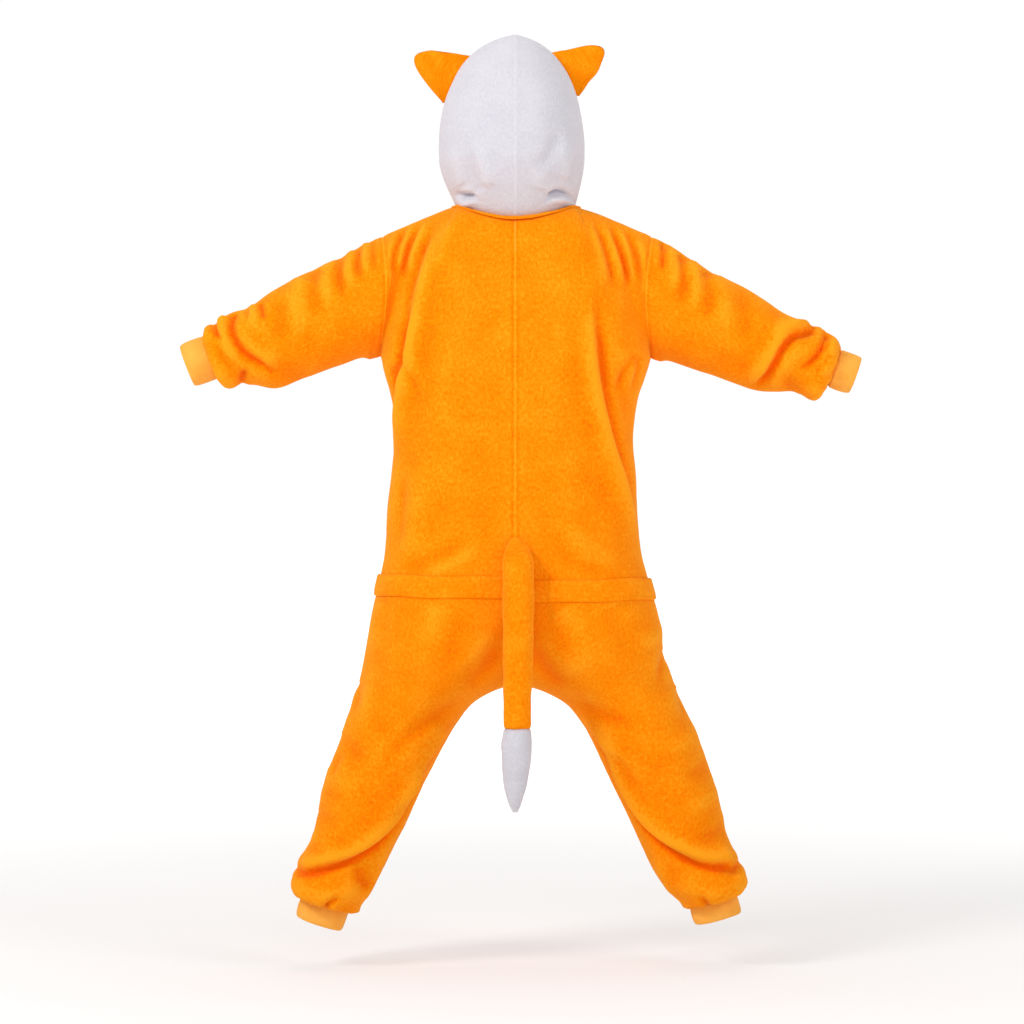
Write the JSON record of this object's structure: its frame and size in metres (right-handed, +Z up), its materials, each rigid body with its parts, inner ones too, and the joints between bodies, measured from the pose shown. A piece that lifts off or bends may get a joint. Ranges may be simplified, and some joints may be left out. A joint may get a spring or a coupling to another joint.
{
  "type": "child's hooded plush onesie",
  "caption": "Hooded plush onesie for a child, worn out on an empty figure, with ears, a long stuffed tail, a drop-seat band and knitted cuffs.",
  "frame": {"origin": "centre of the neck opening, level with the points where the shoulder seams meet the neckline; the wearer's shoulders hold it there", "axes": "+Z up along the standing wearer, +Y towards the garment's front, +X towards the wearer's right"},
  "size_m": [0.866, 0.2915, 1.1308],
  "materials": {
    "plush_orange": "short-pile plush fleece, matt with a soft sheen at grazing angles",
    "plush_white": "short-pile plush fleece, matt with a soft sheen",
    "rib_orange": "smooth knitted rib, matt",
    "button_plastic": "satin moulded plastic"
  },
  "bodies": {
    "root": {"back_left": "plush_orange", "back_right": "plush_orange", "leg_back_left": "plush_orange", "front_left": "plush_orange", "leg_back_right": "plush_orange", "front_right": "plush_orange", "sleeve_left": "plush_orange", "sleeve_right": "plush_orange", "wrist_cuff_left": "rib_orange", "wrist_cuff_right": "rib_orange", "ankle_cuff_left": "rib_orange", "ankle_cuff_right": "rib_orange", "hood_left": "plush_white", "hood_right": "plush_white", "hood_hem_left": "plush_white", "hood_hem_right": "plush_white", "neck_binding": "plush_orange", "seat_band_left": "plush_orange", "seat_band_right": "plush_orange", "front_placket": "plush_orange", "ear_left": "plush_orange", "ear_right": "plush_orange", "tail": "plush_orange", "tail_tip": "plush_white", "button_1": "button_plastic", "button_2": "button_plastic", "button_3": "button_plastic", "button_4": "button_plastic", "button_5": "button_plastic"}
  },
  "joints": []
}
